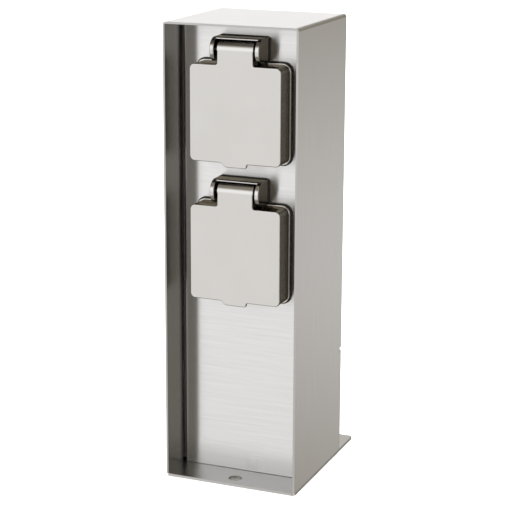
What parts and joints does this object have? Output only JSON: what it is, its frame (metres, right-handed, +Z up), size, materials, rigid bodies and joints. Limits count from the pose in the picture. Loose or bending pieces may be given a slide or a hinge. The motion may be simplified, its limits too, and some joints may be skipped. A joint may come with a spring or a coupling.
{
  "type": "outdoor socket post",
  "caption": "Folded sheet-metal garden post with a recessed panel that carries spring-lidded power sockets above an open lower niche, on a flat base plate with a rear tab.",
  "frame": {"origin": "on the ground, at the middle of the base plate's footprint", "axes": "+Z up the post, +X to the right of someone who faces the lids, +Y to the back"},
  "size_m": [0.1, 0.125, 0.332],
  "materials": {
    "brushed_sheet": "stainless sheet with a fine horizontal grain",
    "zinc_fastener": "bright zinc-plated or stainless fastener",
    "black_rubber": "matt black rubber",
    "block_plastic": "off-white moulded plastic",
    "contact_brass": "plain brass",
    "pin_brass": "nickel-plated brass",
    "tinned_lug": "tinned copper lug",
    "earth_sleeve": "green sleeve with yellow bands",
    "live_sleeve": "brown sleeve",
    "neutral_sleeve": "blue sleeve",
    "frame_metal": "bright nickel-plated casting",
    "satin_lid": "satin nickel",
    "spring_steel": "bright spring steel",
    "insert_plastic": "black moulded plastic",
    "shutter_plastic": "light grey moulded plastic"
  },
  "bodies": {
    "post": {"back_cover": "brushed_sheet", "barrel_screws": "zinc_fastener", "base_plate": "brushed_sheet", "block_screws": "zinc_fastener", "bond_lug": "tinned_lug", "bond_nut": "zinc_fastener", "bond_stud": "brushed_sheet", "bond_wire": "earth_sleeve", "cable_gland": "black_rubber", "carrier_screws_lower": "zinc_fastener", "carrier_screws_upper": "zinc_fastener", "contact_carrier_lower": "insert_plastic", "contact_carrier_upper": "insert_plastic", "contact_screws_lower": "zinc_fastener", "contact_screws_upper": "zinc_fastener", "contacts_lower": "contact_brass", "contacts_upper": "contact_brass", "cover_brackets": "brushed_sheet", "cover_nuts": "zinc_fastener", "cover_screws": "zinc_fastener", "earth_pin_lower": "pin_brass", "earth_pin_upper": "pin_brass", "earth_wire": "earth_sleeve", "frame_lower": "frame_metal", "frame_nuts": "zinc_fastener", "frame_screws": "zinc_fastener", "frame_seal_lower": "black_rubber", "frame_seal_upper": "black_rubber", "frame_upper": "frame_metal", "front_panel": "brushed_sheet", "hinge_pin_lower": "spring_steel", "hinge_pin_upper": "spring_steel", "housing": "brushed_sheet", "insert_lower": "insert_plastic", "insert_upper": "insert_plastic", "lid_spring_lower": "spring_steel", "lid_spring_upper": "spring_steel", "live_wire": "live_sleeve", "neutral_wire": "neutral_sleeve", "panel_nuts": "zinc_fastener", "panel_studs": "brushed_sheet", "panel_washers": "zinc_fastener", "shutter_spring_lower": "spring_steel", "shutter_spring_upper": "spring_steel", "terminal_barrels": "contact_brass", "terminal_block": "block_plastic"},
    "lid_upper": {"lid_upper": "satin_lid", "lid_seal_upper": "black_rubber"},
    "shutter_upper": {"shutter_upper": "shutter_plastic"},
    "lid_lower": {"lid_lower": "satin_lid", "lid_seal_lower": "black_rubber"},
    "shutter_lower": {"shutter_lower": "shutter_plastic"}
  },
  "joints": [
    {"name": "lid_upper_hinge", "type": "hinge", "parent": "post", "child": "lid_upper", "pos_m": [0, -0.0464, 0.313], "axis": [-1, 0, 0], "range_deg": [0, 95], "stiffness_Nm_per_rad": 0.03, "springref_deg": -51.57, "deforming": ["lid_spring_upper"]},
    {"name": "shutter_upper_slide", "type": "slide", "parent": "post", "child": "shutter_upper", "axis": [0, 0, -1], "range_m": [0, 0.0058], "stiffness_N_per_m": 60, "springref_m": -0.004, "deforming": ["shutter_spring_upper"]},
    {"name": "lid_lower_hinge", "type": "hinge", "parent": "post", "child": "lid_lower", "pos_m": [0, -0.0464, 0.2134], "axis": [-1, 0, 0], "range_deg": [0, 95], "stiffness_Nm_per_rad": 0.03, "springref_deg": -51.57, "deforming": ["lid_spring_lower"]},
    {"name": "shutter_lower_slide", "type": "slide", "parent": "post", "child": "shutter_lower", "axis": [0, 0, -1], "range_m": [0, 0.0058], "stiffness_N_per_m": 60, "springref_m": -0.004, "deforming": ["shutter_spring_lower"]}
  ]
}
